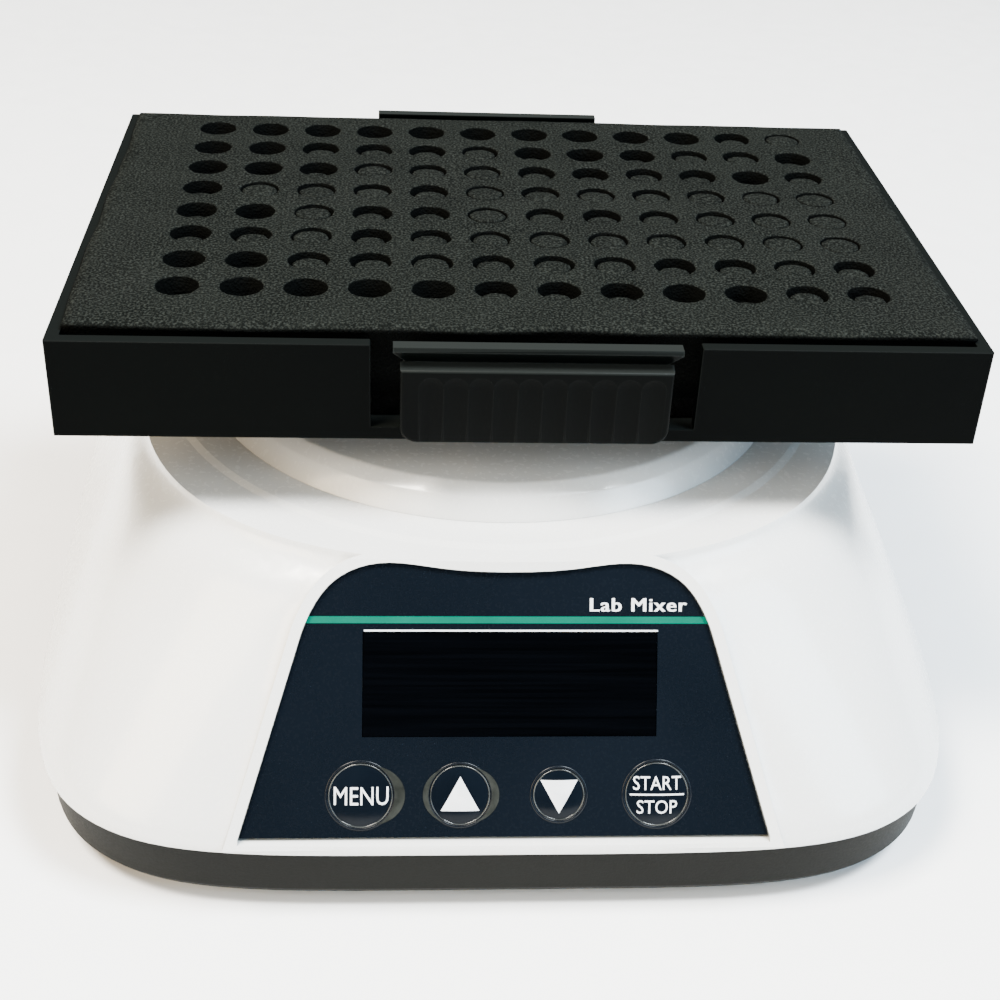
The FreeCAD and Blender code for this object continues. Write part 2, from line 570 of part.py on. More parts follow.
def clip_shape():
    """Front spring clip about the tray's middle: flared finger lip, ledge and fluted thumb pad."""
    band_front, pad_front = 1.2, 2.9     # in front of the tray wall
    back = -WALL_Y + 0.4
    face = -WALL_Y - band_front
    pad = -WALL_Y - pad_front
    top = TRAY_Z + TRAY_SIZE[2] + 0.9
    ledge = TRAY_Z + 12.4
    foot = TRAY_Z + 1.1
    band = box(-CLIP_HALF + 0.4, CLIP_HALF - 0.4, face, back, foot, ledge + 0.2)
    grip = box(-15, 15, back - 0.1, back + 1.2, ledge - 1.0, ledge + 0.8)
    lip = polygon_prism(clip_outline([(-0.4, ledge), (-0.4, ledge + 1.0), (0.5, top - 1.3), (0.5, top),
                                      (2.4, top), (2.7, top - 0.6), (band_front, ledge + 0.8),
                                      (band_front, ledge)]), (40.0, 0, 0))
    flare = [(-20.0, top + 1), (20.0, top + 1), (20.0, top - 0.8), (CLIP_HALF - 0.6, ledge + 0.9),
             (CLIP_HALF - 0.6, ledge - 1), (-CLIP_HALF + 0.6, ledge - 1),
             (-CLIP_HALF + 0.6, ledge + 0.9), (-20.0, top - 0.8)]
    lip = lip.common(polygon_prism([(x, -WALL_Y - 6, z) for x, z in flare], (0, 12, 0)))
    thumb = polygon_prism([(-CLIP_HALF, y, z) for y, z in ((face + 0.1, foot), (pad, foot), (pad, ledge),
                                                           (face, ledge + 0.7), (face + 0.1, ledge + 0.7))],
                          (2 * CLIP_HALF, 0, 0))
    rounded = [e for e in thumb.Edges if e.BoundBox.XLength < 1e-6 and e.BoundBox.ZLength < 1e-6
               and e.BoundBox.ZMin < foot + 0.1]
    thumb = thumb.makeFillet(2.4, rounded)
    front = [e for e in thumb.Edges if abs(e.BoundBox.YMax - pad) < 0.01]
    thumb = thumb.makeFillet(0.5, front)
    knuckles = []
    for x0, x1 in ((-17.6, -LUG_X - 2.0), (-LUG_X + 2.0, -5.6), (5.6, LUG_X - 2.0), (LUG_X + 2.0, 17.6)):
        knuckles.append(rod_along((1, 0, 0), 1.45, x1 - x0, (x0, PIN_Y, PIN_Z)))
        knuckles.append(box(x0, x1, back - 1.2, PIN_Y, PIN_Z - 1.0, PIN_Z + 1.45))
    clip = fuse([band, grip, lip, thumb] + knuckles)

    cutters = [rod_along((1, 0, 0), CLIP_OPEN_PIN_R + RUN_GAP, 44, (-22, PIN_Y, PIN_Z)),
               box(-25, 25, -WALL_Y - 1.0, -WALL_Y + 5, foot - 1, PIN_Z - 1.45)]
    for x in (-LUG_X, 0, LUG_X):
        half = 5.2 if x == 0 else 1.95
        cutters.append(box(x - half, x + half, PIN_Y - 1.7, PIN_Y + 5, foot - 1, PIN_Z + 2.0))
    clip = clip.cut(fuse(cutters))
    for flute in make_flutes(pad, foot, ledge - 2.6):
        clip = clip.cut(flute)
    return moved(clip, CLIP_SHIFT)


def make_clip(end):
    return moved(both_ends(clip_shape())[end], TRAY_X)


def make_clip_pins():
    pin = rod_along((1, 0, 0), CLIP_OPEN_PIN_R, 35.0, (CLIP_SHIFT - 17.5, PIN_Y, PIN_Z))
    return group([moved(p, TRAY_X) for p in both_ends(pin)])


def make_clip_springs():
    """Torsion springs on the clip pins, each wound in open turns of square wire."""
    half_wire, coil_r, pitch, turns = 0.2, 1.15, 1.2, 5
    path = Part.makeHelix(pitch, pitch * turns, coil_r)
    square = [(-1, -1), (1, -1), (1, 1), (-1, 1), (-1, -1)]
    profile = Part.makePolygon([Vector(coil_r + x * half_wire, 0, z * half_wire) for x, z in square])
    coil = Part.Wire(path.Edges).makePipeShell([profile], True, True)
    coil.rotate(Vector(), Vector(0, 1, 0), 90)
    coil = moved(coil, CLIP_SHIFT - pitch * turns / 2, PIN_Y, PIN_Z)
    return group([moved(c, TRAY_X) for c in both_ends(coil)])


def pocket_places():
    """(x, y, kind) of every die-cut pocket in the foam, in the housing's frame."""
    places = []
    for row, kinds in enumerate(PLUGS):
        for column, kind in enumerate(kinds):
            x = (column - (GRID_COLUMNS - 1) / 2) * GRID_PITCH + GRID_SHIFT[0] + TRAY_X
            y = (row - (GRID_ROWS - 1) / 2) * GRID_PITCH + GRID_SHIFT[1]
            places.append((x, y, kind))
    return places


def make_foam():
    half_x, half_y = FOAM_SIZE[0] / 2, FOAM_SIZE[1] / 2
    block = box(TRAY_X - half_x, TRAY_X + half_x, -half_y, half_y, FLOOR_TOP_Z + 0.1, FOAM_TOP_Z)
    depth = {"O": POCKET_DEEP, "c": POCKET_SHALLOW}
    pockets = [rod(POCKET_R, FOAM_TOP_Z - depth[kind], FOAM_TOP_Z + 1, x, y)
               for x, y, kind in pocket_places()]
    return block.cut(group(pockets))


# ---------------------------------------------------------------- panel pieces
def make_overlay():
    sheet = panel_prism(0, -OVERLAY_THICK, 0)
    holes = [window_cutter(0, -5, 5)] + [rod(r + 0.4, -5, 5, x, KEY_ROW) for _, r, x in key_places()]
    return on_panel(sheet.cut(fuse(holes)))


def make_window():
    return on_panel(window_cutter(-0.1, -2.6, -0.1))


def make_display():
    x, y = WINDOW_AT
    frame = box(x - 23, x + 23, y - 8.6, y + 8.6, -BOARD_DEPTH, -3.2)
    return on_panel(frame.cut(box(x - 20, x + 20, y - 6.4, y + 6.4, -3.8, 0)))


def make_board():
    board = rounded_plate(64, 33.5, -BOARD_DEPTH - BOARD_THICK, -BOARD_DEPTH, 1.5, 0, -21.5)
    holes = [rod(1.1, -12, 0, x, y) for x, y in BOARD_POSTS]
    chips = [box(-12, 0, -13, -3, -11.4, -9.5), box(6, 14, -18, -10, -11.0, -9.5),
             box(-26, -18, -24, -9, -14.0, -9.5)]
    chips = [moved(chip, y=-6) for chip in chips]
    return on_panel(fuse([board.cut(fuse(holes))] + chips))


def make_board_screws():
    one = moved(screw(1.6, 5.2, 3.6, 1.2), z=-BOARD_DEPTH - BOARD_THICK)
    return group([on_panel(moved(one, x, y)) for x, y in BOARD_POSTS])


def make_tact_switches():
    pieces = []
    for _, _, x in key_places():
        body = box(x - 3, x + 3, KEY_ROW - 3, KEY_ROW + 3, -BOARD_DEPTH, -BOARD_DEPTH + 2.2)
        pieces.append(fuse([body, rod(1.5, -BOARD_DEPTH + 2, -5.0, x, KEY_ROW)]))
    return group([on_panel(piece) for piece in pieces])


def make_key(radius, x):
    """Key cap: shallow dome on a straight skirt, with a retaining flange behind the wall."""
    rise = 0.55
    ball = (radius ** 2 + rise ** 2) / (2 * rise)
    dome = Part.makeSphere(ball, Vector(0, 0, rise - ball)).common(rod(radius, -0.5, rise + 1))
    cap = fuse([rod(radius, -3.4, 0), dome, rod(radius + 1.0, -4.2, -3.3)])
    return on_panel(moved(cap, x, KEY_ROW))


# ---------------------------------------------------------------- rear switch and power socket
ROCKER_TILT = 7.0            # the rocker leans this far either side of level
ROCKER_PIVOT_Y = BAY_WALL_Y - 1.0


def make_switch_body():
    half_w, half_h = SWITCH_CUT[0] / 2 - 0.1, SWITCH_CUT[1] / 2 - 0.1
    case = box(-half_w, half_w, BAY_WALL_Y - 12, BAY_WALL_Y, -half_h, half_h)
    rim = box(-half_w - 1.2, half_w + 1.2, BAY_WALL_Y, BAY_WALL_Y + 1.6, -half_h - 1.0, half_h + 1.0)
    rim = rim.makeFillet(0.7, [e for e in rim.Edges if e.BoundBox.YLength > 1.5])
    well = box(-3.7, 3.7, BAY_WALL_Y - 6, BAY_WALL_Y + 5, -5.9, 5.9)
    blades = [box(-2.4, 2.4, BAY_WALL_Y - 18, BAY_WALL_Y - 11, z - 0.4, z + 0.4) for z in (-4, 0, 4)]
    return moved(fuse([fuse([case, rim]).cut(well)] + blades), SWITCH_X, 0, BAY_MID_Z)


def make_rocker():
    outline = [(-1.6, -3.0), (1.6, -3.0), (5.3, 1.2), (5.4, 3.8), (0, 2.9), (-5.4, 3.8), (-5.3, 1.2)]
    rocker = polygon_prism([(-3.4, y, z) for z, y in outline], (6.8, 0, 0))
    rocker.rotate(Vector(), Vector(1, 0, 0), ROCKER_TILT)
    return moved(rocker, SWITCH_X, ROCKER_PIVOT_Y, BAY_MID_Z)


def make_socket():
    at = (SOCKET_X, 0, BAY_MID_Z)
    flange = rod_along((0, 1, 0), 7.0, 1.6, (0, BAY_WALL_Y, 0))
    barrel = rod_along((0, 1, 0), SOCKET_R - 0.05, 11, (0, BAY_WALL_Y - 11, 0))
    bore = rod_along((0, 1, 0), 3.2, 12, (0, BAY_WALL_Y - 9.5, 0))
    seat = rod_along((0, 1, 0), 1.0, 6, (0, BAY_WALL_Y - 12, 0))
    return moved(fuse([flange, barrel]).cut(fuse([bore, seat])), *at)


def make_socket_pin():
    pin = rod_along((0, 1, 0), 1.0, 11.0, (SOCKET_X, BAY_WALL_Y - 11.5, BAY_MID_Z))
    return pin


def make_socket_nut():
    across = 7.4
    hexagon = [(across * cos(pi * i / 3), BAY_WALL_Y - 4.6, across * sin(pi * i / 3)) for i in range(6)]
    nut = polygon_prism(hexagon, (0, 2.2, 0))
    nut = nut.cut(rod_along((0, 1, 0), SOCKET_R - 0.05, 20, (0, BAY_WALL_Y - 12, 0)))
    return moved(nut, SOCKET_X, 0, BAY_MID_Z)


# ---------------------------------------------------------------- fasteners
def make_foot_screws():
    one = moved(screw(2.5, 5.6, 5.2, 1.4), z=2.0)
    return group([moved(one, x, y) for x, y in FOOT_AT])


def make_housing_screws():
    one = moved(screw(2.5, 11.0, 5.6, 1.6), z=FOOT_HEIGHT + 1.4)
    return group([moved(one, x, y) for x, y in BOSS_AT])


def upper_screws(places, z, length):
    one = screw(2.5, length, 5.0, 1.6)
    one.rotate(Vector(), Vector(1, 0, 0), 180)
    return group([moved(one, x, y, z) for x, y in places])


PARTS = {
    "top_housing": make_top_housing,
    "base_shell": make_base_shell,
    "rubber_feet": make_feet,
    "foot_screws": make_foot_screws,
    "housing_screws": make_housing_screws,
    "ballast_plate": make_ballast_plate,
    "bracket_pillars": make_pillars,
    "motor_bracket": make_bracket,
    "bracket_screws": lambda: upper_screws(PILLAR_AT, BRACKET_Z + BRACKET_THICK, 8.0),
    "motor_can": make_motor_can,
    "motor_bearings": make_motor_bearings,
    "motor_stator": make_motor_coils,
    "motor_screws": lambda: upper_screws(MOTOR_SCREW_AT, BRACKET_Z + BRACKET_THICK, 5.0),
    "motor_shaft": make_motor_shaft,
    "motor_magnet": make_motor_magnet,
    "eccentric_weight": make_eccentric,
    "eccentric_set_screw": make_set_screw,
    "crank_pin": make_crank_pin,
    "crank_pin_screw": make_crank_screw,
    "bearing_inner_ring": make_bearing_inner,
    "bearing_outer_ring": make_bearing_outer,
    "bearing_balls": make_bearing_balls,
    "bearing_retainer": make_bearing_clip,
    "idler_crank_left": lambda: make_idler_crank(-1),
    "idler_crank_right": lambda: make_idler_crank(1),
    "bracket_bushes": make_bracket_bushes,
    "tray_carrier": make_carrier,
    "carrier_bushes": make_carrier_bushes,
    "dust_collar": make_dust_collar,
    "tray": make_tray,
    "tray_screws": make_tray_screws,
    "front_clip": lambda: make_clip(0),
    "back_clip": lambda: make_clip(1),
    "clip_pins": make_clip_pins,
    "clip_springs": make_clip_springs,
    "foam_insert": make_foam,
    "panel_overlay": make_overlay,
    "display_window": make_window,
    "display_module": make_display,
    "control_board": make_board,
    "board_screws": make_board_screws,
    "tact_switches": make_tact_switches,
    "power_switch_body": make_switch_body,
    "power_rocker": make_rocker,
    "dc_socket": make_socket,
    "dc_socket_pin": make_socket_pin,
    "dc_socket_nut": make_socket_nut,
}
for key_name, key_radius, key_x in key_places():
    PARTS[key_name] = lambda r=key_radius, x=key_x: make_key(r, x)

os.makedirs("parts", exist_ok=True)
for node, make in PARTS.items():
    shape = make()
    solids = shape.Solids
    if not solids or not shape.isValid():
        print("CHECK", node, "solids", len(solids), "valid", shape.isValid())
    out = solids[0] if len(solids) == 1 else Part.makeCompound(solids)
    out.exportStep("parts/" + node + ".step")
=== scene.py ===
"""Looks of the microplate vortex mixer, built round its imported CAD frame.

The frame is the CAD's: origin on the bench under the motor axis, +X right, +Y back, +Z up.
The object's lengths are written in millimetres, and MM turns them into metres. The floor and
the lights are in metres.
"""
import json
import random
from math import atan2, cos, pi, radians, sin

import bmesh
import bpy
from mathutils import Matrix, Vector, noise


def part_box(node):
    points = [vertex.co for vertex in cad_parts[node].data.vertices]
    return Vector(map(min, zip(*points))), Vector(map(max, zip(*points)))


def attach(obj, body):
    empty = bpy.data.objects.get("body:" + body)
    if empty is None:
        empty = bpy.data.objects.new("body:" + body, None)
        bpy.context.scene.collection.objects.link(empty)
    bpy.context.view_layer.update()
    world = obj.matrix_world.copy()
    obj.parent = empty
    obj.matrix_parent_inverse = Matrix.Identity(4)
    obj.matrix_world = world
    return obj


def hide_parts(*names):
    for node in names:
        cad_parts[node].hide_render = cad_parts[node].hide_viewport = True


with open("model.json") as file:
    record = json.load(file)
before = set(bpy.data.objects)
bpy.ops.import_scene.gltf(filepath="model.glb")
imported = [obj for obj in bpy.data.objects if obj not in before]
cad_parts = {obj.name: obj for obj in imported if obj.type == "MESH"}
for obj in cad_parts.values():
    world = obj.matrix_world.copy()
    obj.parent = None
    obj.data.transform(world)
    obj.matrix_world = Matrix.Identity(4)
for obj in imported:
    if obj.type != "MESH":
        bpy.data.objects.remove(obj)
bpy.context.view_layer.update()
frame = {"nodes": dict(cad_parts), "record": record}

MM = 0.001


# ---------------------------------------------------------------- camera
CAMERA_AT = Vector((-16.9, -242.7, 178.9)) * MM
CAMERA_YAW, CAMERA_PITCH, CAMERA_ROLL = (radians(a) for a in (-4.65, 32.78, 2.90))
CAMERA_LENS = 58.1
CAMERA_SENSOR = 36.0
CAMERA_NEAR, CAMERA_FAR = 10 * MM, 20000 * MM


def make_camera():
    """Look along the yaw and the pitch, then roll about that line."""
    ahead = Vector((-sin(CAMERA_YAW) * cos(CAMERA_PITCH), cos(CAMERA_YAW) * cos(CAMERA_PITCH),
                    -sin(CAMERA_PITCH)))
    level = Vector((cos(CAMERA_YAW), sin(CAMERA_YAW), 0))
    upright = level.cross(ahead)
    right = cos(CAMERA_ROLL) * level + sin(CAMERA_ROLL) * upright
    up = -sin(CAMERA_ROLL) * level + cos(CAMERA_ROLL) * upright
    data = bpy.data.cameras.new("camera")
    data.lens = CAMERA_LENS
    data.sensor_width = CAMERA_SENSOR
    data.clip_start, data.clip_end = CAMERA_NEAR, CAMERA_FAR
    camera = bpy.data.objects.new("camera", data)
    turn = Matrix((right, up, -ahead)).transposed().to_4x4()
    camera.matrix_world = Matrix.Translation(CAMERA_AT) @ turn
    bpy.context.scene.collection.objects.link(camera)
    bpy.context.scene.camera = camera


make_camera()


# ---------------------------------------------------------------- finishes
MIX_FACTOR, MIX_LOW, MIX_HIGH, MIX_RESULT = 0, 6, 7, 2      # the colour sockets of a mix node
GRAIN_DETAIL, PATCH_DETAIL = 3.0, 4.0
PROBES = 6                               # rays that feel for a crevice or an edge
EVEN = (1, 1, 1)
BRUSHED = (0.06, 1, 1)


class Finish:
    """A principled material whose textures read the piece's own coordinates, in metres."""

    def __init__(self, name, **constants):
        self.name = name
        self.material = bpy.data.materials.new(name)
        self.material.use_nodes = True
        self.tree = self.material.node_tree
        self.shader = self.tree.nodes["Principled BSDF"]
        self.place = self.add("ShaderNodeTexCoord").outputs["Object"]
        for socket, value in constants.items():
            self.shader.inputs[socket.replace("_", " ")].default_value = value

    def add(self, kind, values=None, **settings):
        """A new node; each value is linked if it is a socket, and set if it is a number."""
        node = self.tree.nodes.new(kind)
        for key, value in settings.items():
            setattr(node, key, value)
        for key, value in (values or {}).items():
            if isinstance(value, bpy.types.NodeSocket):
                self.tree.links.new(value, node.inputs[key])
            else:
                node.inputs[key].default_value = value
        return node

    def stretched(self, stretch):
        if stretch == EVEN:
            return self.place
        return self.add("ShaderNodeMapping", {"Vector": self.place, "Scale": stretch}).outputs[0]

    def grain(self, size_mm, detail=GRAIN_DETAIL, stretch=EVEN):
        values = {"Vector": self.stretched(stretch), "Scale": 1 / MM / size_mm, "Detail": detail}
        return self.add("ShaderNodeTexNoise", values).outputs[0]

    def cells(self, size_mm, stretch=EVEN):
        values = {"Vector": self.stretched(stretch), "Scale": 1 / MM / size_mm}
        return self.add("ShaderNodeTexVoronoi", values).outputs["Distance"]

    def spread(self, value, low, high, start=0.3, end=0.7):
        """Carry start..end over to low..high."""
        values = {"Value": value, "From Min": start, "From Max": end, "To Min": low, "To Max": high}
        return self.add("ShaderNodeMapRange", values).outputs[0]

    def mixed(self, factor, low, high):
        node = self.add("ShaderNodeMix", data_type="RGBA")
        for index, value in ((MIX_FACTOR, factor), (MIX_LOW, low), (MIX_HIGH, high)):
            if isinstance(value, bpy.types.NodeSocket):
                self.tree.links.new(value, node.inputs[index])
            else:
                node.inputs[index].default_value = (*value, 1.0)
        return node.outputs[MIX_RESULT]

    def math(self, kind, one, two):
        return self.add("ShaderNodeMath", {0: one, 1: two}, operation=kind).outputs[0]

    def facing_up(self, start, end):
        """0 on walls to 1 on level faces."""
        normal = self.add("ShaderNodeNewGeometry").outputs["Normal"]
        return self.spread(self.add("ShaderNodeSeparateXYZ", {"Vector": normal}).outputs["Z"],
                           0.0, 1.0, start, end)

    def colour(self):
        return self.shader.inputs["Base Color"].links[0].from_socket

    def set(self, socket, value):
        self.tree.links.new(value, self.shader.inputs[socket])

    def bump(self, height, depth_mm, strength=1.0):
        """Add a relief on top of the reliefs that are already there."""
        values = {"Height": height, "Distance": depth_mm * MM, "Strength": strength}
        previous = self.shader.inputs["Normal"].links
        if previous:
            values["Normal"] = previous[0].from_socket
        self.set("Normal", self.add("ShaderNodeBump", values).outputs[0])


def shaded(name, dark, light, rough, grain_mm, bump_mm, patch_mm, stretch=EVEN, **constants):
    """The common finish: two close tones in soft patches, uneven gloss and a fine surface grain."""
    finish = Finish(name, **constants)
    patches = finish.grain(patch_mm, PATCH_DETAIL, stretch)
    fine = finish.grain(grain_mm, stretch=stretch)
    finish.set("Base Color", finish.mixed(finish.spread(patches, 0.0, 1.0), dark, light))
    finish.set("Roughness", finish.spread(fine, *rough))
    finish.bump(fine, bump_mm)
    return finish


def shell_finish():
    """Glossy white plastic, a little wavy, with painted shade: grey in the crevices beside other pieces."""
    crevice, reach_mm = (0.26, 0.27, 0.26), 1.6
    wave_mm, wave_detail, wave_depth_mm = 6.0, 2.0, 0.02
    finish = shaded("white_shell", (0.67, 0.675, 0.665), (0.71, 0.712, 0.70), (0.20, 0.30), 0.9, 0.008,
                    40.0, Coat_Weight=0.35, Coat_Roughness=0.12, IOR=1.5)
    finish.bump(finish.grain(wave_mm, wave_detail), wave_depth_mm)
    # painted shade: ambient occlusion greys the colour where other surfaces come close
    around = finish.add("ShaderNodeAmbientOcclusion", {"Distance": reach_mm * MM}, samples=PROBES)
    openness = finish.spread(around.outputs["AO"], 0.0, 1.0, 0.25, 0.8)
    finish.set("Base Color", finish.mixed(openness, crevice, finish.colour()))
    return finish


def foam_finish(face_z):
    """Closed-cell foam: small open cells and pale specks; painted light and shade keep the specks to
    shallow faces that look up and paint walls and deeper hollows near-black.
    """
    dark, light = (0.0012, 0.0016, 0.0014), (0.0028, 0.0034, 0.0030)
    # hollow is the near-black painted shade of pocket walls and deep hollows
    speck, hollow = (0.0175, 0.0198, 0.0175), (0.0005, 0.0007, 0.0006)
    speck_mm, patch_mm, small_cell_mm, large_cell_mm = 0.36, 9.0, 0.42, 1.1
    lit_to, shade_from = 1.2, 3.2           # millimetres below the face
    finish = Finish("foam", Specular_IOR_Level=0.03)
    patches = finish.grain(patch_mm, 5.0)
    base = finish.mixed(finish.spread(patches, 0.0, 1.0), dark, light)
    specks = finish.spread(finish.grain(speck_mm, 2.0), 0.0, 1.0, 0.44, 0.78)
    face = finish.mixed(specks, base, speck)
    height = finish.add("ShaderNodeSeparateXYZ", {"Vector": finish.place}).outputs["Z"]
    # painted light and shade: up-facing surfaces near the face keep the specked colour, walls and deeper
    # surfaces take the painted shade
    shallow = finish.spread(height, 0.0, 1.0, (face_z - shade_from) * MM, (face_z - lit_to) * MM)
    painted_lit_tops = finish.math("MULTIPLY", shallow, finish.facing_up(0.45, 0.9))
    finish.set("Base Color", finish.mixed(painted_lit_tops, hollow, face))
    finish.set("Roughness", finish.spread(patches, 0.78, 0.95))
    finish.bump(finish.cells(small_cell_mm), 0.14)
    finish.bump(finish.cells(large_cell_mm), 0.10, 0.7)
    return finish


def edged(name, dark, light, edge, rough, grain_mm, bump_mm, patch_mm, **constants):
    """Black plastic with a painted highlight along its edges; the narrow tops that look up are paler too,
    partly dust and partly painted light.
    """
    highlight_mm = 0.35
    finish = shaded(name, dark, light, rough, grain_mm, bump_mm, patch_mm, **constants)
    # painted highlight: the bevel probe finds the edges, and they take the edge tone
    rounded = finish.add("ShaderNodeBevel", {"Radius": highlight_mm * MM}, samples=PROBES).outputs["Normal"]
    normal = finish.add("ShaderNodeNewGeometry").outputs["Normal"]
    alike = finish.add("ShaderNodeVectorMath", {0: rounded, 1: normal}, operation="DOT_PRODUCT")
    edge_highlight = finish.spread(alike.outputs["Value"], 1.0, 0.0, 0.90, 0.998)
    # tops that look up are paler too: partly dust, partly painted light
    pale = finish.math("MAXIMUM", edge_highlight, finish.facing_up(0.15, 0.85))
    finish.set("Base Color", finish.mixed(pale, finish.colour(), edge))
    return finish


def window_finish():
    """Near-black gloss film over the display, with the faint rulings of the film behind it."""
    dark, light = (0.0002, 0.0003, 0.0005), (0.0005, 0.0007, 0.0011)
    ruled = (0.02, 1, 1)
    finish = Finish("window_glass", Specular_IOR_Level=0.05)
    ruling = finish.grain(0.5, 1.0, ruled)
    finish.set("Base Color", finish.mixed(finish.spread(ruling, 0.0, 1.0), dark, light))
    finish.set("Roughness", finish.spread(finish.grain(5.0), 0.05, 0.11))
    finish.bump(ruling, 0.003)
    return finish


def coil_finish():
    """Enamelled copper turns seen round the poles."""
    between, wire = (0.22, 0.07, 0.02), (0.55, 0.22, 0.08)
    finish = Finish("coils", Metallic=0.7)
    wave = {"Vector": finish.place, "Scale": 1600.0, "Distortion": 1.0}
    turns = finish.add("ShaderNodeTexWave", wave, bands_direction="Z").outputs["Fac"]
    finish.set("Base Color", finish.mixed(turns, between, wire))
    finish.set("Roughness", finish.spread(finish.grain(3.0), 0.25, 0.4))
    finish.bump(turns, 0.15)
    return finish


def board_finish():
    """Green solder mask over copper tracks."""
    finish = shaded("board", (0.012, 0.13, 0.045), (0.02, 0.19, 0.07), (0.30, 0.42), 2.2, 0.02, 3.0)
    finish.bump(finish.cells(2.4, (1, 2, 1)), 0.05)
    return finish


def grey(value):
    return value, value, value


BLACK = (0.0003, 0.0005, 0.0005), (0.0005, 0.0008, 0.0007)
FILM = (0.0014, 0.0025, 0.0044), (0.0020, 0.0034, 0.0058)
# after the name: dark tone, light tone (and the tone of the painted edge highlight, if edged), range of
# roughness, then grain,
# relief and patches in millimetres
FINISHES = {finish.name: finish for finish in (
    shell_finish(),
    shaded("dark_base", (0.0018, 0.0020, 0.0013), (0.0026, 0.0029, 0.0020), (0.50, 0.62), 0.35, 0.03,
           22.0, Specular_IOR_Level=0.06),
    shaded("foot_rubber", grey(0.012), grey(0.024), (0.6, 0.8), 0.5, 0.03, 5.0),
    # the third tone of these two is a painted highlight on their edges and up-facing tops
    edged("black_tray", *BLACK, (0.0034, 0.0041, 0.0039), (0.36, 0.48), 0.28, 0.012, 30.0,
          Specular_IOR_Level=0.015),
    edged("clip_plastic", *BLACK, (0.0095, 0.0110, 0.0105), (0.28, 0.38), 0.3, 0.010, 12.0,
          Specular_IOR_Level=0.02),
    foam_finish(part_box("foam_insert")[1].z / MM),
    shaded("overlay_film", *FILM, (0.22, 0.30), 0.45, 0.0008, 25.0, Specular_IOR_Level=0.12),
    window_finish(),
    shaded("key_film", *FILM, (0.12, 0.18), 0.5, 0.002, 6.0, Specular_IOR_Level=0.10),
    shaded("key_rim", (0.006, 0.008, 0.009), (0.034, 0.037, 0.036), (0.08, 0.16), 1.4, 0.004, 6.0),
    # painted glint: the pale tone of the flat crescents beside the keys
    shaded("painted_key_glint", (0.008, 0.009, 0.008), (0.020, 0.022, 0.020), (0.10, 0.20), 0.9, 0.004, 1.6,
           Specular_IOR_Level=0.3),
    shaded("legend_white", (0.62, 0.64, 0.67), (0.74, 0.76, 0.79), (0.35, 0.5), 0.2, 0.004, 2.0),
    shaded("legend_teal", (0.0, 0.070, 0.046), (0.0, 0.084, 0.056), (0.3, 0.42), 0.3, 0.003, 6.0,
           Specular_IOR_Level=0.03),
    shaded("steel", (0.42, 0.42, 0.43), (0.56, 0.56, 0.57), (0.24, 0.40), 0.25, 0.012, 8.0, BRUSHED,
           Metallic=1.0),
    shaded("screw_steel", grey(0.50), grey(0.64), (0.18, 0.30), 0.4, 0.008, 2.0, Metallic=1.0),
    shaded("spring_steel", (0.36, 0.36, 0.37), (0.48, 0.48, 0.49), (0.22, 0.36), 0.3, 0.006, 2.0,
           Metallic=1.0),
    shaded("alloy", (0.58, 0.58, 0.59), (0.70, 0.70, 0.71), (0.28, 0.44), 0.3, 0.015, 6.0, BRUSHED,
           Metallic=1.0),
    shaded("bronze", (0.42, 0.27, 0.12), (0.55, 0.37, 0.18), (0.35, 0.5), 0.25, 0.02, 2.0,
           Metallic=1.0),
    shaded("brass", (0.55, 0.41, 0.17), (0.68, 0.52, 0.24), (0.2, 0.32), 0.3, 0.01, 2.0, Metallic=1.0),
    shaded("magnet", (0.07, 0.07, 0.08), (0.12, 0.12, 0.13), (0.4, 0.55), 0.4, 0.03, 4.0,
           Metallic=0.6),
    coil_finish(),
    board_finish(),
    shaded("black_plastic", (0.0030, 0.0030, 0.0031), (0.0050, 0.0050, 0.0052), (0.35, 0.5), 0.35,
           0.015, 6.0, Specular_IOR_Level=0.15),
    shaded("display_frame", grey(0.03), grey(0.045), (0.45, 0.6), 0.4, 0.02, 6.0),
)}

for part in frame["record"]["subparts"]:
    cad_object = frame["nodes"][part["node"]]
    cad_object.data.materials.clear()
    cad_object.data.materials.append(FINISHES[part["material_slot"]].material)


# ---------------------------------------------------------------- helpers for new pieces
def piece(name, mesh, finish, body):
    """A new piece on a body, with the finish of that name."""
    made = bpy.data.objects.new(name, mesh)
    bpy.context.scene.collection.objects.link(made)
    mesh.materials.clear()
    mesh.materials.append(FINISHES[finish].material)
    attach(made, body)
    return made


def mesh_of(name, build, smooth=True):
    """The mesh that build(shape) draws, with its faces turned outwards."""
    shape = bmesh.new()
    build(shape)
    bmesh.ops.recalc_face_normals(shape, faces=shape.faces)
    mesh = bpy.data.meshes.new(name)
    shape.to_mesh(mesh)
    shape.free()
    mesh.polygons.foreach_set("use_smooth", [smooth] * len(mesh.polygons))
    return mesh


# ---------------------------------------------------------------- foam insert
# lengths in millimetres, as in the rest of the pieces below
GRID_PITCH = 9.2
GRID_SHIFT = Vector((1.0, 3.0))
POCKET_R = 3.1
TRAY_WALL_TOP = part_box("tray")[1].z / MM
# how far each kind of plug sits below the foam's face, and the gap behind it
PLUG_STATE = {"O": (10.5, 0.5), "m": (1.25, 1.9), "c": (0.6, 1.2), "t": (0.4, 0.8), "s": (0.25, 0.5),
              "f": (0.12, 0.25)}
